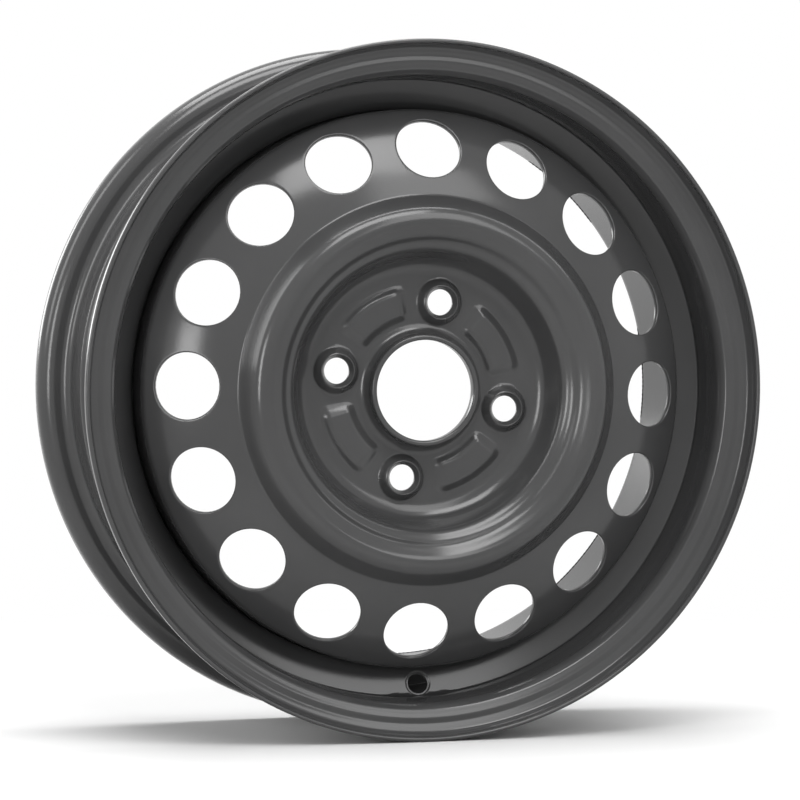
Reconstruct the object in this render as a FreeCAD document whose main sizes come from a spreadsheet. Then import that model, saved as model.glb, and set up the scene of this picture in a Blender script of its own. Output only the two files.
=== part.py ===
"""Pressed steel wheel: a rolled rim, a stamped disc and the weld beads that join them.

The wheel's axis is Y. The origin is on that axis in the hub face, where the disc bolts to the hub.
The outer face looks along -Y, and Z is up. Millimetres and degrees.
"""
import math
import os

import FreeCAD
import Part
import Sketcher
from FreeCAD import Placement, Rotation, Vector

doc = FreeCAD.newDocument("steel_wheel")

DIMENSIONS = {
    # rim: a 14 x 4.5 J section rolled from one strip
    "bead_dia": 354.8,
    "rim_width": 114.3,
    "rim_sheet": 2.2,
    "flange_height": 17.3,
    "flange_bend": 9.5,
    "lip_reach": 12.85,
    "bead_bend": 6.5,
    "seat_width": 18.85,
    "seat_taper": 5.0,
    "seat_bend": 8.0,
    "hump_width": 5.1,
    "hump_rise": 0.7,
    "hump_bend": 6.0,
    "well_depth": 18.5,
    "well_front": 2.6,
    "well_rear": 25.0,
    "well_bend": 8.0,
    # where the rim's middle plane lies behind the hub face
    "rim_offset": 45.0,
    # valve seat, pressed flat in the well's front wall
    "valve_hole_dia": 11.5,
    "valve_seat_dia": 15.6,
    "valve_sink": 0.522,
    "valve_plane": 24.0,
    "valve_tilt": 30.0,
    "valve_reach": 14.0,
    # disc: corners of the pressed section, front side, before the bends are rounded;
    # an inset is measured inwards from the skirt
    "disc_sheet": 3.0,
    "bore_dia": 56.1,
    "collar_height": 15.0,
    "collar_bend": 6.5,
    "nave_foot_radius": 70.9,
    "nave_foot_bend": 15.5,
    "crest_inset": 63.0,
    "crest_height": 39.3,
    "crest_bend": 9.3,
    "step_inset": 48.2,
    "step_height": 19.7,
    "step_bend": 5.0,
    "dome_inset": 20.7,
    "dome_height": 10.8,
    "dome_bend": 115.0,
    "shoulder_depth": 7.2,
    "shoulder_bend": 6.0,
    "skirt_lap": 12.4,
    # how far the disc is clocked against the valve hole
    "disc_turn": 3.8,
    # vents, pierced square to the dome
    "vent_count": 16,
    "vent_dia": 37.0,
    "vent_inset": 21.4,
    "vent_height": 8.45,
    "vent_tilt": 29.8,
    # stud holes with raised coned seats
    "stud_circle_dia": 100.0,
    "stud_count": 4,
    "stud_hole_dia": 14.5,
    "stud_seat_dia": 18.2,
    "stud_land": 0.5,
    "stud_foot_dia": 26.0,
    "stud_rise": 5.5,
    "stud_cone": 30.0,
    # raised pads between the stud holes
    "pad_inner_radius": 38.5,
    "pad_outer_radius": 60.0,
    "pad_half_angle": 24.0,
    "pad_rise": 2.6,
    "pad_slope_width": 5.7,
    "pad_slope_angle": 8.0,
    # weld beads behind the skirt
    "weld_count": 8,
    "weld_angle": 24.0,
    "weld_leg": 3.4,
}

sheet = doc.addObject("Spreadsheet::Sheet", "Dims")
for row, (alias, value) in enumerate(DIMENSIONS.items(), start=1):
    sheet.set(f"A{row}", alias)
    sheet.set(f"B{row}", str(value))
    sheet.setAlias(f"B{row}", alias)
doc.recompute()

# sizes that follow from the sheet, as expressions on its cells
FLANGE_RADIUS = "(Dims.bead_dia / 2 + Dims.flange_height)"
WELL_RADIUS = "(Dims.bead_dia / 2 - Dims.well_depth)"
SKIRT_RADIUS = "(Dims.bead_dia / 2 - Dims.well_depth - Dims.rim_sheet)"
SEAT_END_RADIUS = "(Dims.bead_dia / 2 - Dims.seat_width * tan(Dims.seat_taper))"
HUMP_RADIUS = "(Dims.bead_dia / 2 - Dims.seat_width * tan(Dims.seat_taper) + Dims.hump_rise)"
FRONT_FACE = "(Dims.rim_offset - Dims.rim_width / 2)"
REAR_FACE = "(Dims.rim_offset + Dims.rim_width / 2)"
SKIRT_END = "(Dims.rim_offset + Dims.well_front + Dims.skirt_lap)"
COLLAR_RADIUS = "(Dims.bore_dia / 2 + Dims.disc_sheet)"


def value_of(expression):
    """The number that an expression on the sheet's cells gives now."""
    return float(sheet.evalExpression(expression))


def bent_section(name, corners):
    """A sketch of one side of a sheet section in the XY plane: straight runs with rounded corners.

    Each corner is (radius, axial place, bend radius or None), as expressions on the sheet.
    """
    sketch = doc.addObject("Sketcher::SketchObject", name)
    points = [Vector(value_of(r), value_of(y), 0) for r, y, bend in corners]
    starts = [points[0]]
    ends = []
    arcs = []
    for index in range(1, len(points) - 1):
        corner = points[index]
        back = (points[index - 1] - corner).normalize()
        ahead = (points[index + 1] - corner).normalize()
        half = back.getAngle(ahead) / 2
        bend = value_of(corners[index][2])
        leave = corner + back * (bend / math.tan(half))
        join = corner + ahead * (bend / math.tan(half))
        centre = corner + (back + ahead).normalize() * (bend / math.sin(half))
        arcs.append((centre, bend, leave, join))
        ends.append(leave)
        starts.append(join)
    ends.append(points[-1])

    lines = [sketch.addGeometry(Part.LineSegment(a, b)) for a, b in zip(starts, ends)]

    def place(geometry, which, label, radius, axial):
        for kind, expression in (("DistanceX", radius), ("DistanceY", axial)):
            number = sketch.addConstraint(
                Sketcher.Constraint(kind, -1, 1, geometry, which, value_of(expression)))
            sketch.renameConstraint(number, f"{label}_{kind[-1]}")
            sketch.setExpression(f"Constraints.{label}_{kind[-1]}", expression)

    place(lines[0], 1, "first", corners[0][0], corners[0][1])
    place(lines[-1], 2, "last", corners[-1][0], corners[-1][1])
    for index, (centre, bend, leave, join) in enumerate(arcs, start=1):
        left_turn = (leave - centre).cross(join - centre).z > 0
        first, second = (leave, join) if left_turn else (join, leave)
        angles = [math.atan2(p.y - centre.y, p.x - centre.x) for p in (first, second)]
        circle = Part.Circle(centre, Vector(0, 0, 1), bend)
        arc = sketch.addGeometry(Part.ArcOfCircle(circle, angles[0], angles[1]))
        tip = sketch.addGeometry(Part.Point(points[index]), True)
        leave_end, join_end = (1, 2) if left_turn else (2, 1)
        before, after = lines[index - 1], lines[index]
        sketch.addConstraint(Sketcher.Constraint("Tangent", before, 2, arc, leave_end))
        sketch.addConstraint(Sketcher.Constraint("Tangent", arc, join_end, after, 1))
        sketch.addConstraint(Sketcher.Constraint("PointOnObject", tip, 1, before))
        sketch.addConstraint(Sketcher.Constraint("PointOnObject", tip, 1, after))
        radius = sketch.addConstraint(Sketcher.Constraint("Radius", arc, bend))
        sketch.renameConstraint(radius, f"bend{index}")
        sketch.setExpression(f"Constraints.bend{index}", corners[index][2])
        place(tip, 1, f"corner{index}", corners[index][0], corners[index][1])
    doc.recompute()
    return sketch


def turned_sheet(name, sketch, thickness):
    """The sheet section thickened to one side and turned about the wheel's axis."""
    section = doc.addObject("Part::Offset2D", f"{name}_section_face")
    section.Source = sketch
    section.Mode = "Skin"
    section.Fill = True
    section.setExpression("Value", thickness)
    ring = doc.addObject("Part::Revolution", f"{name}_turned")
    ring.Source = section
    ring.Axis = Vector(0, 1, 0)
    ring.Base = Vector(0, 0, 0)
    ring.Angle = 360
    ring.Solid = True
    doc.recompute()
    return ring


rim_corners = [
    (FLANGE_RADIUS, f"{FRONT_FACE} - Dims.lip_reach", None),
    (FLANGE_RADIUS, FRONT_FACE, "Dims.flange_bend"),
    ("Dims.bead_dia / 2", FRONT_FACE, "Dims.bead_bend"),
    (SEAT_END_RADIUS, f"{FRONT_FACE} + Dims.seat_width", "Dims.seat_bend"),
    (HUMP_RADIUS, f"{FRONT_FACE} + Dims.seat_width + Dims.hump_width", "Dims.hump_bend"),
    (WELL_RADIUS, "Dims.rim_offset + Dims.well_front", "Dims.well_bend"),
    (WELL_RADIUS, "Dims.rim_offset + Dims.well_rear", "Dims.well_bend"),
    (HUMP_RADIUS, f"{REAR_FACE} - Dims.seat_width - Dims.hump_width", "Dims.hump_bend"),
    (SEAT_END_RADIUS, f"{REAR_FACE} - Dims.seat_width", "Dims.seat_bend"),
    ("Dims.bead_dia / 2", REAR_FACE, "Dims.bead_bend"),
    (FLANGE_RADIUS, REAR_FACE, "Dims.flange_bend"),
    (FLANGE_RADIUS, f"{REAR_FACE} + Dims.lip_reach", None),
]
rim_section = bent_section("rim_section", rim_corners)
rim_turned = turned_sheet("rim", rim_section, "-Dims.rim_sheet")


# rim: a flat valve seat, pressed into the well's front wall at the bottom of the wheel
WALL_START = f"({FRONT_FACE} + Dims.seat_width + Dims.hump_width)"
WALL_RUN = f"(Dims.rim_offset + Dims.well_front - {WALL_START})"
WALL_SHEET = f"(Dims.rim_sheet / cos(atan(({HUMP_RADIUS} - {WELL_RADIUS}) / {WALL_RUN})))"
SEAT_WALL_RADIUS = "(Dims.valve_seat_dia / 2 + Dims.rim_sheet)"
WALL_FALL = f"({HUMP_RADIUS} - {WELL_RADIUS}) * (Dims.valve_plane - {WALL_START}) / {WALL_RUN}"
VALVE_RADIUS = f"({HUMP_RADIUS} - {WALL_FALL} - {WALL_SHEET} - Dims.valve_sink)"


def wall_cone(name, lift):
    """The cone inside one side of the well's front wall, run on forward by half the wall's length.

    The lift is its distance from the wall's tyre side.
    """
    cone = doc.addObject("Part::Cone", name)
    cone.setExpression("Radius1", f"1.5 * {HUMP_RADIUS} - 0.5 * {WELL_RADIUS} - {lift}")
    cone.setExpression("Radius2", f"{WELL_RADIUS} - {lift}")
    cone.setExpression("Height", f"1.5 * {WALL_RUN}")
    cone.Placement.Rotation = Rotation(Vector(1, 0, 0), -90)
    cone.setExpression("Placement.Base.y", f"{WALL_START} - 0.5 * {WALL_RUN}")
    return cone


def valve_plug(name, radius, start, length):
    """A cylinder on the valve's axis, start being its distance behind the seat's front face."""
    plug = doc.addObject("Part::Cylinder", name)
    plug.setExpression("Radius", radius)
    plug.setExpression("Height", length)
    plug.Placement.Rotation = Rotation(Vector(1, 0, 0), -120)
    plug.setExpression("Placement.Rotation.Angle", "-(90 + Dims.valve_tilt)")
    plug.setExpression("Placement.Base.y", f"Dims.valve_plane + ({start}) * cos(Dims.valve_tilt)")
    plug.setExpression("Placement.Base.z", f"-{VALVE_RADIUS} - ({start}) * sin(Dims.valve_tilt)")
    return plug


def boolean(kind, name, base, tool):
    """A Part cut, common or fusion of two objects."""
    result = doc.addObject(f"Part::{kind}", name)
    result.Base = base
    result.Tool = tool
    return result


sunk_block = valve_plug("valve_sunk_block", SEAT_WALL_RADIUS,
                        "-Dims.valve_reach", "Dims.valve_reach + Dims.rim_sheet")
sunk_side = boolean("Cut", "valve_sunk_side", sunk_block, wall_cone("wall_inner_cone", WALL_SHEET))
proud_block = valve_plug("valve_proud_block", SEAT_WALL_RADIUS, "0", "Dims.valve_reach")
proud_side = boolean("Common", "valve_proud_side", proud_block, wall_cone("wall_outer_cone", "0"))
cup = boolean("Fuse", "valve_cup", sunk_side, proud_side)
rim_with_cup = boolean("Fuse", "rim_with_cup", rim_turned, cup)
front_room = valve_plug("valve_front_room", "Dims.valve_seat_dia / 2",
                        "-Dims.valve_reach", "Dims.valve_reach")
rear_room = valve_plug("valve_rear_room", "Dims.valve_seat_dia / 2",
                       "Dims.rim_sheet", "Dims.valve_reach")
hole = valve_plug("valve_hole", "Dims.valve_hole_dia / 2", "-Dims.valve_reach", "2 * Dims.valve_reach")
rim_front_open = boolean("Cut", "rim_front_open", rim_with_cup, front_room)
rim_rear_open = boolean("Cut", "rim_rear_open", rim_front_open, rear_room)
rim = boolean("Cut", "rim", rim_rear_open, hole)
doc.recompute()

disc_corners = [
    (COLLAR_RADIUS, "-Dims.collar_height", None),
    (COLLAR_RADIUS, "-Dims.disc_sheet", "Dims.collar_bend"),
    ("Dims.nave_foot_radius", "-Dims.disc_sheet", "Dims.nave_foot_bend"),
    (f"{SKIRT_RADIUS} - Dims.crest_inset", "-Dims.crest_height", "Dims.crest_bend"),
    (f"{SKIRT_RADIUS} - Dims.step_inset", "-Dims.step_height", "Dims.step_bend"),
    (f"{SKIRT_RADIUS} - Dims.dome_inset", "-Dims.dome_height", "Dims.dome_bend"),
    (SKIRT_RADIUS, "Dims.shoulder_depth", "Dims.shoulder_bend"),
    (SKIRT_RADIUS, SKIRT_END, None),
]
disc_section = bent_section("disc_section", disc_corners)
disc_turned = turned_sheet("disc", disc_section, "-Dims.disc_sheet")


# disc: the turned sheet goes on as a body with its pierced and pressed features
disc = doc.addObject("PartDesign::Body", "disc")
disc.BaseFeature = disc_turned
disc.Placement.Rotation = Rotation(Vector(0, 1, 0), value_of("Dims.disc_turn"))
disc.setExpression("Placement.Rotation.Angle", "Dims.disc_turn")
doc.recompute()
planes = {item.Role: item for item in disc.Origin.OriginFeatures}
WHEEL_AXIS = (planes["Y_Axis"], [""])


def body_sketch(name, plane, offset):
    """An empty sketch on one of the body's own planes, moved by offset."""
    sketch = doc.addObject("Sketcher::SketchObject", name)
    disc.addObject(sketch)
    sketch.AttachmentSupport = [(planes[plane], "")]
    sketch.MapMode = "FlatFace"
    sketch.AttachmentOffset = offset
    return sketch


def pattern(name, features, count):
    """Copies of the features, evenly spaced about the wheel's axis."""
    ring = doc.addObject("PartDesign::PolarPattern", name)
    disc.addObject(ring)
    ring.Originals = features
    ring.Axis = WHEEL_AXIS
    ring.Angle = 360
    ring.setExpression("Occurrences", count)
    disc.Tip = ring
    doc.recompute()
    return ring


def dimension(sketch, name, constraint, expression):
    """Adds a named dimension bound to the sheet."""
    number = sketch.addConstraint(constraint)
    sketch.renameConstraint(number, name)
    sketch.setExpression(f"Constraints.{name}", expression)


# vents: the first one stands straight up, square to the dome
vent_sketch = body_sketch("vent_sketch", "XZ_Plane", Placement(Vector(), Rotation(Vector(1, 0, 0), -35)))
vent_sketch.setExpression("AttachmentOffset.Rotation.Angle", "-Dims.vent_tilt")
vent_sketch.setExpression("AttachmentOffset.Base.y", f"{SKIRT_RADIUS} - Dims.vent_inset")
vent_sketch.setExpression("AttachmentOffset.Base.z", "Dims.vent_height")
vent_circle = vent_sketch.addGeometry(
    Part.Circle(Vector(0, 0, 0), Vector(0, 0, 1), value_of("Dims.vent_dia / 2")))
vent_sketch.addConstraint(Sketcher.Constraint("Coincident", vent_circle, 3, -1, 1))
dimension(vent_sketch, "vent", Sketcher.Constraint("Radius", vent_circle, value_of("Dims.vent_dia / 2")),
          "Dims.vent_dia / 2")
doc.recompute()
vent = doc.addObject("PartDesign::Pocket", "vent")
disc.addObject(vent)
vent.Profile = vent_sketch
vent.Midplane = True
vent.setExpression("Length", "8 * Dims.disc_sheet")
disc.Tip = vent
doc.recompute()
vents = pattern("vents", [vent], "Dims.vent_count")

# stud seats: a hole is cut, and a raised cone is turned about the stud's own axis in its place
STUD_TURN = "-(90 - 180 / Dims.vent_count)"
stud_turn = Placement(Vector(), Rotation(Vector(0, 1, 0), value_of(STUD_TURN)))
FRONT = "-Dims.disc_sheet"
SEAT_TOP = "-(Dims.disc_sheet + Dims.stud_rise)"
CONE_DEPTH = "((Dims.stud_seat_dia - Dims.stud_hole_dia) / 2 / tan(Dims.stud_cone))"
FOOT = "(Dims.stud_foot_dia / 2)"


def turned_about_stud(name, kind, outline):
    """A revolution or groove about the stud's axis; outline holds (radius, axial place) expressions."""
    sketch = body_sketch(f"{name}_sketch", "XY_Plane", stud_turn)
    sketch.setExpression("AttachmentOffset.Rotation.Angle", STUD_TURN)
    points = [Vector(value_of(f"Dims.stud_circle_dia / 2 + {r}"), value_of(y), 0) for r, y in outline]
    lines = [sketch.addGeometry(Part.LineSegment(a, b)) for a, b in zip(points, points[1:] + points[:1])]
    for index, line in enumerate(lines):
        following = lines[(index + 1) % len(lines)]
        sketch.addConstraint(Sketcher.Constraint("Coincident", line, 2, following, 1))
        radius, axial = outline[index]
        across = f"Dims.stud_circle_dia / 2 + {radius}"
        dimension(sketch, f"across{index}",
                  Sketcher.Constraint("DistanceX", -1, 1, line, 1, value_of(across)), across)
        dimension(sketch, f"along{index}",
                  Sketcher.Constraint("DistanceY", -1, 1, line, 1, value_of(axial)), axial)
    middle = value_of("Dims.stud_circle_dia / 2")
    axis = sketch.addGeometry(Part.LineSegment(Vector(middle, -60, 0), Vector(middle, 60, 0)), True)
    sketch.addConstraint(Sketcher.Constraint("Vertical", axis))
    dimension(sketch, "stud_axis", Sketcher.Constraint("DistanceX", -1, 1, axis, 1, middle),
              "Dims.stud_circle_dia / 2")
    doc.recompute()
    feature = doc.addObject(f"PartDesign::{kind}", name)
    disc.addObject(feature)
    feature.Profile = sketch
    feature.ReferenceAxis = (sketch, ["Axis0"])
    feature.Angle = 360
    disc.Tip = feature
    doc.recompute()
    return feature


stud_room = turned_about_stud("stud_room", "Groove", [
    ("0", "Dims.disc_sheet"),
    (FOOT, "Dims.disc_sheet"),
    (FOOT, f"{SEAT_TOP}"),
    ("0", f"{SEAT_TOP}"),
])
stud_seat = turned_about_stud("stud_seat", "Revolution", [
    ("Dims.stud_hole_dia / 2", f"{SEAT_TOP} + {CONE_DEPTH} + Dims.disc_sheet / 2"),
    ("Dims.stud_hole_dia / 2", f"{SEAT_TOP} + {CONE_DEPTH}"),
    ("Dims.stud_seat_dia / 2", SEAT_TOP),
    ("Dims.stud_seat_dia / 2 + Dims.stud_land", SEAT_TOP),
    (FOOT, FRONT),
    (FOOT, "0"),
    (f"{FOOT} - Dims.disc_sheet / 3", "0"),
])
studs = pattern("studs", [stud_room, stud_seat], "Dims.stud_count")

# pads: raised on the front and sunk on the back, halfway between the stud holes
PAD_TURN = "(90 - 180 / Dims.vent_count - 180 / Dims.stud_count)"


def pad_outline(name, height, shrink):
    """A ring segment about the wheel's axis at one height in front of the hub face; shrink is 0 or 1."""
    sketch = body_sketch(name, "XZ_Plane", Placement(Vector(), Rotation(Vector(0, 0, 1), value_of(PAD_TURN))))
    sketch.setExpression("AttachmentOffset.Rotation.Angle", PAD_TURN)
    sketch.setExpression("AttachmentOffset.Base.z", height)
    inner_text = f"Dims.pad_inner_radius + {shrink} * Dims.pad_slope_width"
    outer_text = f"Dims.pad_outer_radius - {shrink} * Dims.pad_slope_width"
    angle_text = f"Dims.pad_half_angle - {shrink} * Dims.pad_slope_angle"
    inner, outer, angle = value_of(inner_text), value_of(outer_text), math.radians(value_of(angle_text))
    arcs = [sketch.addGeometry(Part.ArcOfCircle(Part.Circle(Vector(), Vector(0, 0, 1), r), -angle, angle))
            for r in (inner, outer)]
    ends = [[Vector(r * math.cos(a), r * math.sin(a), 0) for r in (inner, outer)] for a in (-angle, angle)]
    sides = [sketch.addGeometry(Part.LineSegment(a, b)) for a, b in ends]
    for arc, side_end in zip(arcs, (1, 2)):
        sketch.addConstraint(Sketcher.Constraint("Coincident", arc, 3, -1, 1))
        for side, arc_end in zip(sides, (1, 2)):
            sketch.addConstraint(Sketcher.Constraint("Coincident", arc, arc_end, side, side_end))
    for side in sides:
        sketch.addConstraint(Sketcher.Constraint("PointOnObject", -1, 1, side))
    dimension(sketch, "inner", Sketcher.Constraint("Radius", arcs[0], inner), inner_text)
    dimension(sketch, "outer", Sketcher.Constraint("Radius", arcs[1], outer), outer_text)
    for number, (side, sign) in enumerate(zip(sides, (-1, 1))):
        dimension(sketch, f"side{number}",
                  Sketcher.Constraint("Angle", side, sign * angle), f"{sign} * ({angle_text}) * 1 deg")
    doc.recompute()
    return sketch


def pad_loft(name, kind, foot, top):
    """A loft between a pad's foot and its flat top."""
    loft = doc.addObject(f"PartDesign::{kind}", name)
    disc.addObject(loft)
    loft.Profile = foot
    loft.Sections = [(top, [""])]
    loft.Ruled = True
    disc.Tip = loft
    doc.recompute()
    return loft


pad_front = pad_loft("pad_front", "AdditiveLoft",
                     pad_outline("pad_front_foot", "Dims.disc_sheet", 0),
                     pad_outline("pad_front_top", "Dims.disc_sheet + Dims.pad_rise", 1))
pad_back = pad_loft("pad_back", "SubtractiveLoft",
                    pad_outline("pad_back_foot", "0", 0),
                    pad_outline("pad_back_top", "Dims.pad_rise", 1))
pads = pattern("pads", [pad_front, pad_back], "Dims.stud_count")

# weld beads: short fillets between the skirt's rear edge and the well
weld_section = doc.addObject("Sketcher::SketchObject", "weld_section")
weld_corners = [
    (SKIRT_RADIUS, SKIRT_END),
    (f"{SKIRT_RADIUS} - Dims.weld_leg", SKIRT_END),
    (SKIRT_RADIUS, f"{SKIRT_END} + Dims.weld_leg"),
]
weld_points = [Vector(value_of(r), value_of(y), 0) for r, y in weld_corners]
weld_lines = [weld_section.addGeometry(Part.LineSegment(a, b))
              for a, b in zip(weld_points, weld_points[1:] + weld_points[:1])]
for index, line in enumerate(weld_lines):
    following = weld_lines[(index + 1) % len(weld_lines)]
    weld_section.addConstraint(Sketcher.Constraint("Coincident", line, 2, following, 1))
    for kind, expression in zip(("DistanceX", "DistanceY"), weld_corners[index]):
        dimension(weld_section, f"weld{index}_{kind[-1]}",
                  Sketcher.Constraint(kind, -1, 1, line, 1, value_of(expression)), expression)
doc.recompute()
beads = []
for index in range(int(value_of("Dims.weld_count"))):
    bead = doc.addObject("Part::Revolution", f"weld_bead_{index}")
    bead.Source = weld_section
    bead.Axis = Vector(0, 1, 0)
    bead.Solid = True
    bead.setExpression("Angle", "Dims.weld_angle")
    bead.Placement.Rotation = Rotation(Vector(0, 1, 0), 45)
    bead.setExpression("Placement.Rotation.Angle", f"{index} * 360 / Dims.weld_count - Dims.weld_angle / 2")
    beads.append(bead)
weld_beads = doc.addObject("Part::Compound", "weld_beads")
weld_beads.Links = beads
doc.recompute()

# every object has to be sound before its file is written
os.makedirs("parts", exist_ok=True)
for item in doc.Objects:
    if "Invalid" in item.State or "Error" in item.State:
        raise RuntimeError(f"{item.Name} did not compute: {item.State}")
for piece in (rim, disc, weld_beads):
    if piece.Shape.isNull() or not piece.Shape.isValid():
        raise RuntimeError(f"{piece.Name} has no valid shape")
    piece.Label = piece.Name
    piece.Shape.exportStep(f"parts/{piece.Name}.step")
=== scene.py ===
import math

import bmesh
import bpy
import numpy as np
from mathutils import Matrix, Vector


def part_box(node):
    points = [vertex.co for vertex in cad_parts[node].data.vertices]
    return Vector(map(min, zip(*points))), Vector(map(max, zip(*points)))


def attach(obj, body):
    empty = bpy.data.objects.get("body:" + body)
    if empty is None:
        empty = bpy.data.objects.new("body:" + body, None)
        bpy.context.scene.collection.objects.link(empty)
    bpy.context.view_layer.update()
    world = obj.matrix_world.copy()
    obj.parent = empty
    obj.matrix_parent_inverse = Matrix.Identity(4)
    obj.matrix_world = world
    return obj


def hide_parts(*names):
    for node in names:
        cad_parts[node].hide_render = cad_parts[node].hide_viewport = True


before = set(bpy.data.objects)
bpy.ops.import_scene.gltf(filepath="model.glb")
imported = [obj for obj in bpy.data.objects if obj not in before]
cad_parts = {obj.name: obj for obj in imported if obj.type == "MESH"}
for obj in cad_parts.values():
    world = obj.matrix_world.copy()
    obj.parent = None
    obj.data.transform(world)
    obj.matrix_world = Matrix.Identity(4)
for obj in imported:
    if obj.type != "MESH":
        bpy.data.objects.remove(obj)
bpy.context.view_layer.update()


# Rim: one strip of steel sheet, rolled to a ring and butt-welded, then roll-formed to two flanges,
# two bead seats with humps and a drop well. The valve seat is pressed flat in the well's front wall
# and pierced. Sizes here are millimetres, and the wheel's axis is Y.
rim_low, rim_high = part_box("rim")
FLANGE_RADIUS = min(-rim_low[0], rim_high[0], -rim_low[2], rim_high[2]) * 1000
FRONT_LIP = rim_low[1] * 1000
REAR_LIP = rim_high[1] * 1000
RIM_SHEET = 2.2
LIP_REACH = 12.85
FLANGE_HEIGHT = 17.3
FLANGE_BEND = 9.5
BEAD_RADIUS = FLANGE_RADIUS - FLANGE_HEIGHT
BEAD_BEND = 6.5
SEAT_WIDTH = 18.85
SEAT_END_RADIUS = BEAD_RADIUS - SEAT_WIDTH * math.tan(math.radians(5))
SEAT_BEND = 8.0
HUMP_RADIUS = SEAT_END_RADIUS + 0.7
HUMP_WIDTH = 5.1
HUMP_BEND = 6.0
WELL_RADIUS = BEAD_RADIUS - 18.5
RIM_MIDDLE = (FRONT_LIP + REAR_LIP) / 2
WELL_REAR = RIM_MIDDLE + 25.0
WELL_BEND = 8.0
AROUND = 240
FRONT_HUMP_BEND = 3.4
FRONT_WELL_BEND = 4.5
VALVE_RADIUS = 167.5
VALVE_PLANE = 24.0
VALVE_TILT = math.radians(17)
VALVE_SINK = 0.4


def front_wall(radius):
    """Axial place of the well's front wall on its tyre side, in front of the valve seat by the sink."""
    return (VALVE_PLANE + (RIM_SHEET - VALVE_SINK) / math.cos(VALVE_TILT)
            - (radius - VALVE_RADIUS) * math.tan(VALVE_TILT))


def bent_path(corners, run_step, bend_step):
    """Points and unit directions along straight runs joined by round bends.

    Each corner is (radius, axial place, bend radius); run_step is in mm and bend_step in degrees.
    """
    corner_points = [np.array(corner[:2], float) for corner in corners]
    points = [corner_points[0]]
    directions = []
    for index in range(1, len(corners)):
        previous, corner = points[-1], corner_points[index]
        ahead = (corner - corner_points[index - 1]) / np.linalg.norm(corner - corner_points[index - 1])
        turn = 0.0
        cut = 0.0
        if index < len(corners) - 1:
            beyond = corner_points[index + 1] - corner
            beyond = beyond / np.linalg.norm(beyond)
            turn = math.atan2(ahead[0] * beyond[1] - ahead[1] * beyond[0], float(ahead @ beyond))
            cut = corners[index][2] * math.tan(abs(turn) / 2)
        length = np.linalg.norm(corner - previous) - cut
        pieces = max(1, int(math.ceil(length / run_step)))
        if not directions:
            directions.append(ahead)
        for step in range(1, pieces + 1):
            points.append(previous + ahead * length * step / pieces)
            directions.append(ahead)
        if turn:
            side = np.array([-ahead[1], ahead[0]]) * math.copysign(1, turn)
            centre = points[-1] + side * corners[index][2]
            start = points[-1] - centre
            pieces = max(2, int(math.ceil(math.degrees(abs(turn)) / bend_step)),
                         int(math.ceil(corners[index][2] * abs(turn) / run_step)))
            for step in range(1, pieces + 1):
                angle = turn * step / pieces
                spin = np.array([[math.cos(angle), -math.sin(angle)], [math.sin(angle), math.cos(angle)]])
                points.append(centre + spin @ start)
                directions.append(spin @ ahead)
    return np.array(points), np.array(directions)


def other_side(points, directions, sheet):
    """The far side of a sheet whose near side is given."""
    return points - sheet * np.stack([directions[:, 1], -directions[:, 0]], axis=1)


def rolled_edge(near, far, outward, steps=6):
    """Points of the rounded cut edge from one side of the sheet to the other, without its two ends."""
    middle = (near + far) / 2
    half = (near - far) / 2
    bulge = outward * np.linalg.norm(half) * 0.7
    angles = np.linspace(0, math.pi, steps + 2)[1:-1]
    return np.array([middle + half * math.cos(a) + bulge * math.sin(a) for a in angles])


class SheetMesh:
    """Collects grids of points that meet along shared edges and welds them into one mesh."""

    def __init__(self):
        self.points = []
        self.quads = []

    def grid(self, block):
        rows, columns = block.shape[:2]
        first = sum(len(part) for part in self.points)
        self.points.append(block.reshape(-1, 3))
        index = first + np.arange(rows * columns).reshape(rows, columns)
        corners = [index[:-1, :-1], index[:-1, 1:], index[1:, 1:], index[1:, :-1]]
        self.quads.append(np.stack([corner.ravel() for corner in corners], axis=1))

    def lathe(self, section, angles):
        self.grid(turned(section, angles))

    def build(self, name):
        mesh = bpy.data.meshes.new(name)
        quads = np.concatenate(self.quads)
        mesh.from_pydata((np.concatenate(self.points) * 0.001).tolist(), [], quads.tolist())
        edit = bmesh.new()
        edit.from_mesh(mesh)
        bmesh.ops.remove_doubles(edit, verts=edit.verts, dist=1e-6)
        bmesh.ops.recalc_face_normals(edit, faces=edit.faces)
        edit.to_mesh(mesh)
        edit.free()
        mesh.shade_smooth()
        piece = bpy.data.objects.new(name, mesh)
        bpy.context.collection.objects.link(piece)
        return piece


def turned(section, angles):
    """The points of a section, as (radius, axial place), turned about the wheel's axis."""
    radius, axial = section[:, 0][:, None], section[:, 1][:, None]
    return np.stack([radius * np.cos(angles), axial + 0 * angles, radius * np.sin(angles)], axis=2)


def window(border, ring, layers, spread):
    """Rings of points from a hole's edge out to the border of a patch, in the patch's own plane."""
    shares = np.linspace(0, 1, layers + 1) ** spread
    return np.stack([ring * (1 - share) + border * share for share in shares])


def patch_border(across, along):
    """The border of a rectangular patch, once round, from its two lists of stations."""
    bottom = [(a, along[0]) for a in across[:-1]]
    right = [(across[-1], b) for b in along[:-1]]
    top = [(a, along[-1]) for a in across[:0:-1]]
    left = [(across[0], b) for b in along[::-1]]
    return np.array(bottom + right + top + left)


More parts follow.
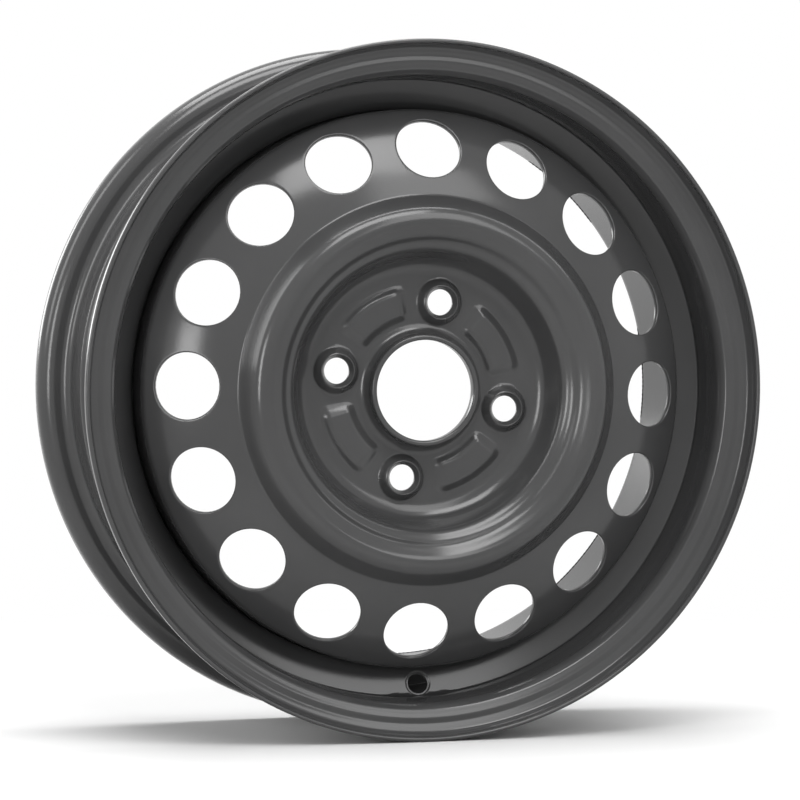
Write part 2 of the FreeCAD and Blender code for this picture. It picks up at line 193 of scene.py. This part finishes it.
edge_trim = RIM_SHEET * 0.35
rim_corners = [
    (FLANGE_RADIUS, FRONT_LIP + edge_trim, 0),
    (FLANGE_RADIUS, FRONT_LIP + LIP_REACH, FLANGE_BEND),
    (BEAD_RADIUS, FRONT_LIP + LIP_REACH, BEAD_BEND),
    (SEAT_END_RADIUS, FRONT_LIP + LIP_REACH + SEAT_WIDTH, SEAT_BEND),
    (HUMP_RADIUS, front_wall(HUMP_RADIUS), FRONT_HUMP_BEND),
    (WELL_RADIUS, front_wall(WELL_RADIUS), FRONT_WELL_BEND),
    (WELL_RADIUS, WELL_REAR, WELL_BEND),
    (HUMP_RADIUS, REAR_LIP - LIP_REACH - SEAT_WIDTH - HUMP_WIDTH, HUMP_BEND),
    (SEAT_END_RADIUS, REAR_LIP - LIP_REACH - SEAT_WIDTH, SEAT_BEND),
    (BEAD_RADIUS, REAR_LIP - LIP_REACH, BEAD_BEND),
    (FLANGE_RADIUS, REAR_LIP - LIP_REACH, FLANGE_BEND),
    (FLANGE_RADIUS, REAR_LIP - edge_trim, 0),
]
tyre_side, rim_run = bent_path(rim_corners, 3.5, 6)
axle_side = other_side(tyre_side, rim_run, RIM_SHEET)

# the rolls leave shallow rings on the front flange's face
FLANGE_RING_DEPTH = 0.22
FLANGE_RING_PITCH = 5.0
FLANGE_RING_START = 5.0
FLANGE_RING_END = 24.0
FLANGE_RING_FADE = 3.0
along_flange = np.concatenate([[0], np.cumsum(np.linalg.norm(np.diff(axle_side, axis=0), axis=1))])
from_ends = np.minimum(along_flange - FLANGE_RING_START, FLANGE_RING_END - along_flange)
flange_share = np.clip(from_ends / FLANGE_RING_FADE, 0, 1)
flange_rings = FLANGE_RING_DEPTH * flange_share * np.sin(2 * math.pi * along_flange / FLANGE_RING_PITCH)
axle_side = axle_side - flange_rings[:, None] * np.stack([rim_run[:, 1], -rim_run[:, 0]], axis=1)

front_edge = rolled_edge(axle_side[0], tyre_side[0], -rim_run[0])
rear_edge = rolled_edge(tyre_side[-1], axle_side[-1], rim_run[-1])

VALVE_HOLE = 5.75
VALVE_SEAT = 6.6
VALVE_BLEND = 7.4
VALVE_REACH = 13.0
VALVE_SECTOR = math.radians(7.5)
VALVE_STEPS = 24
BENDS_ABOVE, BENDS_BELOW = 18, 15
VALVE_ANGLE = math.radians(270)

# the part of the section round the valve, with the bends above and below the straight wall
wall_way = np.array([-math.cos(VALVE_TILT), math.sin(VALVE_TILT)])
straight = [i for i in range(len(rim_run)) if np.allclose(rim_run[i], wall_way, atol=1e-6)
            and front_wall(HUMP_RADIUS) < tyre_side[i, 1] < front_wall(WELL_RADIUS)]
to_valve = (tyre_side - np.array([VALVE_RADIUS, VALVE_PLANE])) @ wall_way
near_valve = [i for i in range(straight[0] - BENDS_ABOVE, straight[-1] + BENDS_BELOW)
              if abs(to_valve[i]) < VALVE_REACH]
patch_start, patch_end = near_valve[0], near_valve[-1]

plain_angles = np.linspace(VALVE_ANGLE + VALVE_SECTOR, VALVE_ANGLE - VALVE_SECTOR + 2 * math.pi, AROUND)
valve_angles = np.linspace(VALVE_ANGLE - VALVE_SECTOR, VALVE_ANGLE + VALVE_SECTOR, VALVE_STEPS + 1)

rim_mesh = SheetMesh()
whole_section = np.concatenate([tyre_side, rear_edge, axle_side[::-1], front_edge, tyre_side[:1]])
rim_mesh.lathe(whole_section, plain_angles)
front_part = np.concatenate([axle_side[:patch_start + 1][::-1], front_edge, tyre_side[:patch_start + 1]])
rear_part = np.concatenate([tyre_side[patch_end:], rear_edge, axle_side[patch_end:][::-1]])
rim_mesh.lathe(front_part, valve_angles)
rim_mesh.lathe(rear_part, valve_angles)

seat_centre = np.array([0, VALVE_PLANE, -VALVE_RADIUS])
seat_normal = np.array([0, -math.cos(VALVE_TILT), math.sin(VALVE_TILT)])


def valve_wall(side, depth):
    """The front wall's patch round the valve: the wall stepped down to the flat seat, depth behind it."""
    stations = side[patch_start:patch_end + 1]
    along = np.concatenate([[0], np.cumsum(np.linalg.norm(np.diff(stations, axis=0), axis=1))])
    border = patch_border(valve_angles, along)
    middle_along = along[straight[0] - patch_start] + float(
        (np.array([VALVE_RADIUS, VALVE_PLANE]) - side[straight[0]]) @ wall_way)
    turn = np.arctan2(border[:, 1] - middle_along, (border[:, 0] - VALVE_ANGLE) * VALVE_RADIUS)

    def ring(reach):
        return np.stack([VALVE_ANGLE + reach * np.cos(turn) / VALVE_RADIUS,
                         middle_along + reach * np.sin(turn)], axis=1)

    past_blend = ring(VALVE_BLEND + 0.3)
    inner = window(past_blend, ring(VALVE_HOLE), 10, 1.0)
    outer = window(border, past_blend, 8, 1.0)
    flat = np.concatenate([inner, outer[1:]])
    radius = np.interp(flat[..., 1], along, stations[:, 0])
    axial = np.interp(flat[..., 1], along, stations[:, 1])
    place = np.stack([radius * np.cos(flat[..., 0]), axial, radius * np.sin(flat[..., 0])], axis=-1)
    centre = seat_centre - depth * seat_normal
    lift = (centre - place) @ seat_normal
    reach = np.linalg.norm(place + lift[..., None] * seat_normal - centre, axis=-1)
    share = np.clip((VALVE_BLEND - reach) / (VALVE_BLEND - VALVE_SEAT), 0, 1)
    share = share * share * (3 - 2 * share)
    return place + (share * lift)[..., None] * seat_normal


valve_front = valve_wall(axle_side, 0)
valve_back = valve_wall(tyre_side, RIM_SHEET)
rim_mesh.grid(valve_front)
rim_mesh.grid(valve_back)
rim_mesh.grid(np.stack([valve_front[0] * (1 - s) + valve_back[0] * s for s in (0, 0.15, 0.85, 1)]))
rim = rim_mesh.build("rolled_rim")


# Paint: a satin black dip coat over the whole wheel, baked on, with a faint orange peel and a little
# unevenness where it drained. The rim, the disc and the welds are coated together.
def satin_black():
    material = bpy.data.materials.new("satin_black_coat")
    material.use_nodes = True
    nodes, links = material.node_tree.nodes, material.node_tree.links
    coat = nodes["Principled BSDF"]
    coat.inputs["Specular IOR Level"].default_value = 0.4
    place = nodes.new("ShaderNodeTexCoord")

    drain = nodes.new("ShaderNodeTexNoise")
    drain.inputs["Scale"].default_value = 14
    drain.inputs["Detail"].default_value = 4
    links.new(place.outputs["Object"], drain.inputs["Vector"])
    colour = nodes.new("ShaderNodeValToRGB")
    colour.color_ramp.elements[0].position = 0.3
    colour.color_ramp.elements[0].color = (0.037, 0.037, 0.0375, 1)
    colour.color_ramp.elements[1].position = 0.7
    colour.color_ramp.elements[1].color = (0.045, 0.045, 0.0455, 1)
    links.new(drain.outputs["Fac"], colour.inputs["Fac"])
    links.new(colour.outputs["Color"], coat.inputs["Base Color"])
    gloss = nodes.new("ShaderNodeMapRange")
    gloss.inputs["To Min"].default_value = 0.15
    gloss.inputs["To Max"].default_value = 0.21
    links.new(drain.outputs["Fac"], gloss.inputs["Value"])
    links.new(gloss.outputs["Result"], coat.inputs["Roughness"])

    peel = nodes.new("ShaderNodeTexNoise")
    peel.inputs["Scale"].default_value = 700
    peel.inputs["Detail"].default_value = 2
    links.new(place.outputs["Object"], peel.inputs["Vector"])
    bump = nodes.new("ShaderNodeBump")
    bump.inputs["Strength"].default_value = 0.05
    bump.inputs["Distance"].default_value = 0.0004
    links.new(peel.outputs["Fac"], bump.inputs["Height"])
    links.new(bump.outputs["Normal"], coat.inputs["Normal"])
    return material


black_coat = satin_black()


def fit_piece(piece, node):
    """Coats a piece, puts it in place of its CAD node and lets it ride on the wheel."""
    piece.data.materials.clear()
    piece.data.materials.append(black_coat)
    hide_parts(node)
    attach(piece, "root")


fit_piece(rim, "rim")


# Disc: one round blank of thicker steel sheet, pressed in several strokes. From the middle outwards it
# has a drawn collar, a hub flat with coned stud seats and raised pads, the nave, a domed face pierced
# with round vents, and a skirt that is pressed into the well.
DISC_SHEET = 3.0
BORE_RADIUS = 28.05
COLLAR_TIP = -15.0
COLLAR_BEND = 6.5
NAVE_FOOT = 70.9
NAVE_FOOT_BEND = 12.0
KNEE = (77.5, -20.5, 6.0)
CREST = (96.3, -35.6, 9.3)
STEP = (108.5, -19.7, 3.0)
DOME_RADIUS = 115.0
DOME = (136.0, -10.8, DOME_RADIUS)
SKIRT_RADIUS = WELL_RADIUS - RIM_SHEET
SHOULDER_DEPTH = 7.2
SHOULDER_BEND = 6.0
SKIRT_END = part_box("disc")[1][1] * 1000

collar_radius = BORE_RADIUS + DISC_SHEET
disc_trim = DISC_SHEET * 0.35
disc_corners = [
    (collar_radius, COLLAR_TIP + disc_trim, 0),
    (collar_radius, -DISC_SHEET, COLLAR_BEND),
    (NAVE_FOOT, -DISC_SHEET, NAVE_FOOT_BEND),
    KNEE,
    CREST,
    STEP,
    DOME,
    (SKIRT_RADIUS, SHOULDER_DEPTH, SHOULDER_BEND),
    (SKIRT_RADIUS, SKIRT_END - disc_trim, 0),
]
face_side, disc_run = bent_path(disc_corners, 3.5, 8)
hub_side = other_side(face_side, disc_run, DISC_SHEET)

# the draw leaves faint rings on the nave between its knee and its crest
RING_DEPTH = 0.26
RING_PITCH = 9.0
RING_STATIONS = 15
knee_slope = (np.array(CREST[:2]) - np.array(KNEE[:2])) / math.dist(CREST[:2], KNEE[:2])
nave_run = [i for i in range(len(disc_run)) if np.allclose(disc_run[i], knee_slope, atol=1e-6)]
first, last = nave_run[0], nave_run[-1]
shares = np.linspace(0, 1, RING_STATIONS)[:, None]
finer = face_side[first] * (1 - shares) + face_side[last] * shares
face_side = np.concatenate([face_side[:first], finer, face_side[last + 1:]])
hub_side = np.concatenate([hub_side[:first], hub_side[first] * (1 - shares) + hub_side[last] * shares,
                           hub_side[last + 1:]])
disc_run = np.concatenate([disc_run[:first], np.repeat(knee_slope[None], RING_STATIONS, axis=0),
                           disc_run[last + 1:]])
slopes = np.arctan2(disc_run[:, 1], disc_run[:, 0])
along_nave = (face_side - np.array(KNEE[:2])) @ knee_slope
RING_FADE = 4.0
RING_END = face_side[first + RING_STATIONS - 1, 0] + 6.0
ring_share = np.clip(np.minimum(along_nave, RING_END - face_side[:, 0]) / RING_FADE, 0, 1)
ring_share[:first - 2] = 0
rings = RING_DEPTH * ring_share * np.sin(2 * math.pi * along_nave / RING_PITCH)
face_side = face_side + rings[:, None] * np.stack([disc_run[:, 1], -disc_run[:, 0]], axis=1)


# the sheet is split into plain turned bands, the hub flat and the dome
flat_stations = [i for i in range(len(slopes))
                 if abs(slopes[i]) < 1e-6 and abs(face_side[i, 1] + DISC_SHEET) < 1e-6]
hub_start, hub_end = flat_stations[0], flat_stations[-1]
dome_in = math.atan2(DOME[1] - STEP[1], DOME[0] - STEP[0])
dome_out = math.atan2(SHOULDER_DEPTH - DOME[1], SKIRT_RADIUS - DOME[0])
dome_stations = [i for i in range(len(slopes))
                 if dome_in - 1e-6 <= slopes[i] <= dome_out + 1e-6 and face_side[i, 0] > STEP[0] + 2]
dome_start, dome_end = dome_stations[1], dome_stations[-2]

disc_mesh = SheetMesh()
collar_edge = rolled_edge(hub_side[0], face_side[0], -disc_run[0])
skirt_edge = rolled_edge(face_side[-1], hub_side[-1], disc_run[-1])

STUD_CIRCLE = 50.0
STUD_COUNT = 4
STUD_HOLE = 7.25
STUD_SEAT = 9.1
STUD_LAND = 9.6
STUD_FOOT = 13.0
STUD_RISE = 5.5
STUD_CONE_DEPTH = 3.2
STUD_HOLLOW = 12.0
VENT_COUNT = 16
STUD_ANGLE = math.radians(90 - 180 / VENT_COUNT)
disc_angles = STUD_ANGLE + np.linspace(0, 2 * math.pi, AROUND + 1)
PAD_INNER = 38.5
PAD_OUTER = 60.0
PAD_HALF_ANGLE = math.radians(24)
PAD_RISE = 2.6
PAD_SLOPE = 5.7
PAD_SLOPE_ANGLE = math.radians(8)


def soft_step(value):
    """0 to 1 with rounded ends, as a pressed slope has."""
    value = np.clip(value, 0, 1)
    return value * value * (3 - 2 * value)


def to_stud(x, z):
    """Distance from the nearest stud's axis."""
    pitch = 2 * math.pi / STUD_COUNT
    angle = (np.arctan2(z, x) - STUD_ANGLE + pitch / 2) % pitch - pitch / 2
    radius = np.hypot(x, z)
    return np.hypot(radius * np.cos(angle) - STUD_CIRCLE, radius * np.sin(angle))


def pad_height(x, z):
    """How far the raised pads stand above the hub flat."""
    pitch = 2 * math.pi / STUD_COUNT
    angle = (np.arctan2(z, x) - STUD_ANGLE) % pitch - pitch / 2
    radius = np.hypot(x, z)
    inside = np.minimum(radius - PAD_INNER, PAD_OUTER - radius) / PAD_SLOPE
    between = (PAD_HALF_ANGLE - np.abs(angle)) / PAD_SLOPE_ANGLE
    return PAD_RISE * soft_step(inside) * soft_step(between)


def seat_flank(reach):
    """Height of a stud seat's outer flank above the hub flat."""
    return STUD_RISE * np.clip((STUD_FOOT - reach) / (STUD_FOOT - STUD_LAND), 0, 1)


def press_face(block):
    """Lifts the turned face where the stud seats' flanks and the pads stand out of it."""
    x, y, z = block[..., 0], block[..., 1], block[..., 2]
    raised = np.maximum(seat_flank(to_stud(x, z)), pad_height(x, z))
    shaped = block.copy()
    shaped[..., 1] = np.minimum(y, -DISC_SHEET - raised)
    return shaped


def press_back(block):
    """The same features from behind: hollows under the seats and the pads."""
    x, y, z = block[..., 0], block[..., 1], block[..., 2]
    reach = to_stud(x, z)
    hollow = np.clip((STUD_HOLLOW - reach) / (STUD_HOLLOW - STUD_HOLE), 0, 1)
    seat = (STUD_RISE - STUD_CONE_DEPTH + DISC_SHEET / 2) * hollow
    shaped = block.copy()
    shaped[..., 1] = y - np.maximum(seat, pad_height(x, z))
    return shaped


collar_band = np.concatenate([hub_side[:hub_start + 1][::-1], collar_edge, face_side[:hub_start + 1]])
collar_turned = turned(collar_band, disc_angles)
face_rows = len(hub_side[:hub_start + 1]) + len(collar_edge) + 2
collar_turned[face_rows:] = press_face(collar_turned[face_rows:])
disc_mesh.grid(collar_turned)
FOOT_ROWS = 6
nave_turned = turned(face_side[hub_end:dome_start + 1], disc_angles)
nave_turned[:FOOT_ROWS] = press_face(nave_turned[:FOOT_ROWS])
disc_mesh.grid(nave_turned)
disc_mesh.lathe(hub_side[hub_end:dome_start + 1], disc_angles)
skirt_band = np.concatenate([face_side[dome_end:], skirt_edge, hub_side[dome_end:][::-1]])
disc_mesh.lathe(skirt_band, disc_angles)


def around_axle(points, middle):
    """Angle and radius about the wheel's axis of points of the hub plane, with angles near the middle's."""
    angle = np.arctan2(points[:, 1], points[:, 0])
    angle = middle + (angle - middle + math.pi) % (2 * math.pi) - math.pi
    return np.stack([angle, np.hypot(points[:, 0], points[:, 1])], axis=1)


def hub_plane(flat, level):
    """Points from angles and radii about the wheel's axis, at one level."""
    angle, radius = flat[..., 0], flat[..., 1]
    return np.stack([radius * np.cos(angle), 0 * angle + level, radius * np.sin(angle)], axis=-1)


# hub flat: one quarter per stud, with rings of points round the hole
quarter_steps = AROUND // STUD_COUNT
for stud in range(STUD_COUNT):
    middle = STUD_ANGLE + stud * 2 * math.pi / STUD_COUNT
    angles = middle + np.linspace(-math.pi / STUD_COUNT, math.pi / STUD_COUNT, quarter_steps + 1)
    radii = np.linspace(face_side[hub_start, 0], face_side[hub_end, 0], 25)
    border = patch_border(angles, radii)
    turn = np.arctan2((border[:, 0] - middle) * STUD_CIRCLE, border[:, 1] - STUD_CIRCLE)
    out = np.stack([np.cos(middle + turn), np.sin(middle + turn)], axis=1)
    axis = STUD_CIRCLE * np.array([math.cos(middle), math.sin(middle)])
    seat_ring = around_axle(axis + STUD_LAND * out, middle)
    face = press_face(hub_plane(window(border, seat_ring, 22, 1.0), -DISC_SHEET))
    cone_path, _ = bent_path([(STUD_HOLE, -DISC_SHEET - STUD_RISE + STUD_CONE_DEPTH + DISC_SHEET / 2, 0),
                              (STUD_HOLE, -DISC_SHEET - STUD_RISE + STUD_CONE_DEPTH, 0.5),
                              (STUD_SEAT, -DISC_SHEET - STUD_RISE, 0.25),
                              (STUD_LAND, -DISC_SHEET - STUD_RISE, 0)], 1, 15)
    cone = np.stack([np.stack([axis[0] + r * out[:, 0], 0 * out[:, 0] + y, axis[1] + r * out[:, 1]], axis=1)
                     for r, y in cone_path])
    hole_ring = around_axle(axis + STUD_HOLE * out, middle)
    back = press_back(hub_plane(window(border, hole_ring, 10, 1.0), 0))
    disc_mesh.grid(face)
    disc_mesh.grid(cone)
    disc_mesh.grid(back)

# dome: one part per vent, with the hole's edge rolled over a little by the punch
VENT_RADIUS = 18.5
VENT_PLACE = 135.3
VENT_ROLL = 0.7
VENT_BREAK = 0.3
dome_way = disc_run[dome_start]
dome_centre = face_side[dome_start] + DOME_RADIUS * np.array([-dome_way[1], dome_way[0]])
vent_slope = math.asin((VENT_PLACE - dome_centre[0]) / DOME_RADIUS)
vent_steps = AROUND // VENT_COUNT


def on_dome(radius, slope, angle):
    """A point of the dome, or of its back where radius is smaller by the sheet."""
    out = dome_centre[0] + radius * np.sin(slope)
    axial = dome_centre[1] - radius * np.cos(slope)
    return np.stack([out * np.cos(angle), axial, out * np.sin(angle)], axis=-1)


def vent_edge(radius, reach, turn):
    """Slope and angle of the points of a dome that lie a given reach from the vent's own axis."""
    across, along = reach * np.cos(turn), reach * np.sin(turn)
    slope = np.full_like(turn, vent_slope)
    angle = np.zeros_like(turn)
    for _ in range(8):
        out = dome_centre[0] + radius * np.sin(slope)
        angle = np.arcsin(across / out)
        axial = dome_centre[1] - radius * np.cos(slope)
        centre_out = dome_centre[0] + radius * math.sin(vent_slope)
        centre_axial = dome_centre[1] - radius * math.cos(vent_slope)
        reached = ((out * np.cos(angle) - centre_out) * math.cos(vent_slope)
                   + (axial - centre_axial) * math.sin(vent_slope))
        slope = slope + (along - reached) / radius
    return np.stack([angle, slope], axis=1)


dome_slopes = slopes[dome_start:dome_end + 1]
half_pitch = math.pi / VENT_COUNT
for vent in range(VENT_COUNT):
    middle = math.pi / 2 + vent * 2 * half_pitch
    border = patch_border(np.linspace(-half_pitch, half_pitch, vent_steps + 1), dome_slopes)
    turn = np.arctan2((border[:, 1] - vent_slope) * DOME_RADIUS, border[:, 0] * VENT_PLACE)
    back_radius = DOME_RADIUS - DISC_SHEET
    face_flat = window(border, vent_edge(DOME_RADIUS, VENT_RADIUS + VENT_ROLL, turn), 8, 1.2)
    back_flat = window(border, vent_edge(back_radius, VENT_RADIUS + VENT_BREAK, turn), 4, 1.2)
    face = on_dome(DOME_RADIUS, face_flat[..., 1], middle + face_flat[..., 0])
    back = on_dome(back_radius, back_flat[..., 1], middle + back_flat[..., 0])
    wall = []
    for step in range(4, -1, -1):
        tilt = step / 4 * math.pi / 2
        edge = vent_edge(DOME_RADIUS, VENT_RADIUS + VENT_ROLL * (1 - math.cos(tilt)), turn)
        deep = DOME_RADIUS - VENT_ROLL * (1 - math.sin(tilt))
        wall.append(on_dome(deep, edge[:, 1], middle + edge[:, 0]))
    deep_edge = vent_edge(back_radius + VENT_BREAK, VENT_RADIUS, turn)
    wall.append(on_dome(back_radius + VENT_BREAK, deep_edge[:, 1], middle + deep_edge[:, 0]))
    wall.append(back[0])
    disc_mesh.grid(face)
    disc_mesh.grid(np.stack(wall))
    disc_mesh.grid(back)

disc = disc_mesh.build("pressed_disc")
DISC_TURN = math.radians(3.8)
disc.data.transform(Matrix.Rotation(DISC_TURN, 4, "Y"))
fit_piece(disc, "disc")


# Weld beads: short runs of wire weld laid between the skirt's rear edge and the well, with the fine
# ripples of the pool along each run and a rounded start and stop.
WELD_COUNT = 8
WELD_ANGLE = math.radians(24)
WELD_LEG = 3.4 * 0.98
WELD_RIPPLE = 0.06
WELD_BULGE = 1.3
run = np.linspace(-1, 1, 90)
taper = np.sqrt(np.clip(1 - np.abs(run) ** 12, 0, 1))
ripple = 1 - WELD_RIPPLE * np.abs(np.sin(run * 40))
leg = WELD_LEG * taper * ripple
bead_mesh = SheetMesh()
for bead in range(WELD_COUNT):
    middle = bead * 2 * math.pi / WELD_COUNT
    angles = middle + run * WELD_ANGLE / 2
    rows = []
    for share in np.linspace(0, 1, 9):
        swing = share * math.pi / 2
        radius = SKIRT_RADIUS - leg * np.cos(swing) ** WELD_BULGE
        axial = SKIRT_END - disc_trim + (leg + disc_trim * taper) * np.sin(swing) ** WELD_BULGE
        rows.append(np.stack([radius * np.cos(angles), axial, radius * np.sin(angles)], axis=1))
    root = np.stack([SKIRT_RADIUS * np.cos(angles), 0 * angles + SKIRT_END - disc_trim,
                     SKIRT_RADIUS * np.sin(angles)], axis=1)
    bead_mesh.grid(np.stack(rows + [root, rows[0]]))
weld_beads = bead_mesh.build("weld_beads_laid")
fit_piece(weld_beads, "weld_beads")


# Studio: a white sweep, a long soft box overhead and weaker ones in front. The wheel has rolled a
# little on the floor, so the studio is turned about the wheel's axis by as much.
ROLLED = math.radians(-2.28)
wheel_middle = Vector((0, RIM_MIDDLE * 0.001, 0))
studio = Matrix.Translation(wheel_middle) @ Matrix.Rotation(-ROLLED, 4, "Y")

AZIMUTH = math.radians(-16.208)
ELEVATION = math.radians(2.179)
CAMERA_DISTANCE = 2.398
CAMERA_RIGHT = 0.0023
CAMERA_UP = -0.0075
CAMERA_LENS = 189.6
right = Vector((math.cos(AZIMUTH), math.sin(AZIMUTH), 0))
back = Vector((math.sin(AZIMUTH) * math.cos(ELEVATION), -math.cos(AZIMUTH) * math.cos(ELEVATION),
               math.sin(ELEVATION)))
up = back.cross(right)
camera_data = bpy.data.cameras.new("camera")
camera_data.sensor_width = 36
camera_data.lens = CAMERA_LENS
camera = bpy.data.objects.new("camera", camera_data)
bpy.context.collection.objects.link(camera)
turn_to_view = Matrix((right, up, back)).transposed().to_4x4()
stand = right * CAMERA_RIGHT + up * CAMERA_UP + back * CAMERA_DISTANCE
camera.matrix_world = studio @ Matrix.Translation(stand) @ turn_to_view
bpy.context.scene.camera = camera


def shows_backdrop(nodes, links):
    """A socket that is 1 for the rays that meet the white backdrop: camera, glossy and transmission rays."""
    ray = nodes.new("ShaderNodeLightPath")
    shown = ray.outputs["Is Camera Ray"]
    for kind in ("Is Glossy Ray", "Is Transmission Ray"):
        either = nodes.new("ShaderNodeMath")
        either.operation = "MAXIMUM"
        links.new(shown, either.inputs[0])
        links.new(ray.outputs[kind], either.inputs[1])
        shown = either.outputs["Value"]
    return shown


FLOOR_LEVEL = -FLANGE_RADIUS * 0.001 - 0.0003
FLOOR_HALF = 6
SHADOW_ROOM = 0.3
WHITE_FROM = 0.75
floor_mesh = bpy.data.meshes.new("floor")
floor_mesh.from_pydata([(-FLOOR_HALF, -FLOOR_HALF, 0), (FLOOR_HALF, -FLOOR_HALF, 0),
                        (FLOOR_HALF, FLOOR_HALF, 0), (-FLOOR_HALF, FLOOR_HALF, 0)], [], [(0, 1, 2, 3)])
floor = bpy.data.objects.new("floor", floor_mesh)
bpy.context.collection.objects.link(floor)
floor.matrix_world = studio @ Matrix.Translation((0, 0, FLOOR_LEVEL))
floor_paint = bpy.data.materials.new("white_sweep")
floor_paint.use_nodes = True
floor_nodes, floor_links = floor_paint.node_tree.nodes, floor_paint.node_tree.links
floor_base = floor_nodes["Principled BSDF"]
floor_base.inputs["Base Color"].default_value = (0.56, 0.56, 0.56, 1)
floor_base.inputs["Roughness"].default_value = 0.9
floor_base.inputs["Specular IOR Level"].default_value = 0.1
floor_glow = floor_nodes.new("ShaderNodeEmission")
floor_glow.inputs["Color"].default_value = (1, 1, 1, 1)
floor_place = floor_nodes.new("ShaderNodeTexCoord")
from_wheel = floor_nodes.new("ShaderNodeVectorMath")
from_wheel.operation = "LENGTH"
floor_links.new(floor_place.outputs["Object"], from_wheel.inputs[0])
far_off = floor_nodes.new("ShaderNodeMapRange")
far_off.interpolation_type = "SMOOTHSTEP"
far_off.inputs["From Min"].default_value = SHADOW_ROOM
far_off.inputs["From Max"].default_value = WHITE_FROM
floor_links.new(from_wheel.outputs["Value"], far_off.inputs["Value"])
floor_white = floor_nodes.new("ShaderNodeMath")
floor_white.operation = "MULTIPLY"
floor_links.new(shows_backdrop(floor_nodes, floor_links), floor_white.inputs[0])
floor_links.new(far_off.outputs["Result"], floor_white.inputs[1])
floor_mix = floor_nodes.new("ShaderNodeMixShader")
floor_links.new(floor_white.outputs["Value"], floor_mix.inputs["Fac"])
floor_links.new(floor_base.outputs["BSDF"], floor_mix.inputs[1])
floor_links.new(floor_glow.outputs["Emission"], floor_mix.inputs[2])
floor_links.new(floor_mix.outputs["Shader"], floor_nodes["Material Output"].inputs["Surface"])
floor_mesh.materials.append(floor_paint)


def soft_box(name, place, size, watts):
    """A rectangular studio light at place, aimed at the wheel's middle."""
    data = bpy.data.lights.new(name, "AREA")
    data.shape = "RECTANGLE"
    data.size, data.size_y = size
    data.energy = watts
    light = bpy.data.objects.new(name, data)
    bpy.context.collection.objects.link(light)
    aim_way = (-Vector(place)).to_track_quat("-Z", "Y").to_matrix().to_4x4()
    light.matrix_world = studio @ Matrix.Translation(place) @ aim_way


soft_box("overhead", (0, 0.3, 1.95), (1.7, 1.0), 50)
soft_box("front_high", (-0.1, -1.05, 1.7), (1.2, 0.8), 26)
soft_box("front_right", (0.6, -1.65, 1.0), (0.8, 1.2), 12)
soft_box("left_strip", (-1.7, -0.2, 1.0), (0.5, 1.6), 13)
soft_box("front_left", (-1.5, -1.35, 0.2), (0.4, 0.7), 9)
soft_box("right_strip", (1.41, 0, 1.41), (0.6, 1.2), 7)
soft_box("rear_left", (-0.9, 1.6, 0.4), (0.8, 0.6), 8)

world = bpy.data.worlds.new("white_room")
bpy.context.scene.world = world
world.use_nodes = True
world_nodes, world_links = world.node_tree.nodes, world.node_tree.links
room = world_nodes["Background"]
room.inputs["Color"].default_value = (1, 1, 1, 1)
room.inputs["Strength"].default_value = 0.42
white = world_nodes.new("ShaderNodeBackground")
white.inputs["Color"].default_value = (1, 1, 1, 1)
white.inputs["Strength"].default_value = 1.0
choice = world_nodes.new("ShaderNodeMixShader")
world_links.new(shows_backdrop(world_nodes, world_links), choice.inputs["Fac"])
world_links.new(room.outputs["Background"], choice.inputs[1])
world_links.new(white.outputs["Background"], choice.inputs[2])
world_links.new(choice.outputs["Shader"], world_nodes["World Output"].inputs["Surface"])

bpy.context.scene.view_settings.view_transform = "Standard"
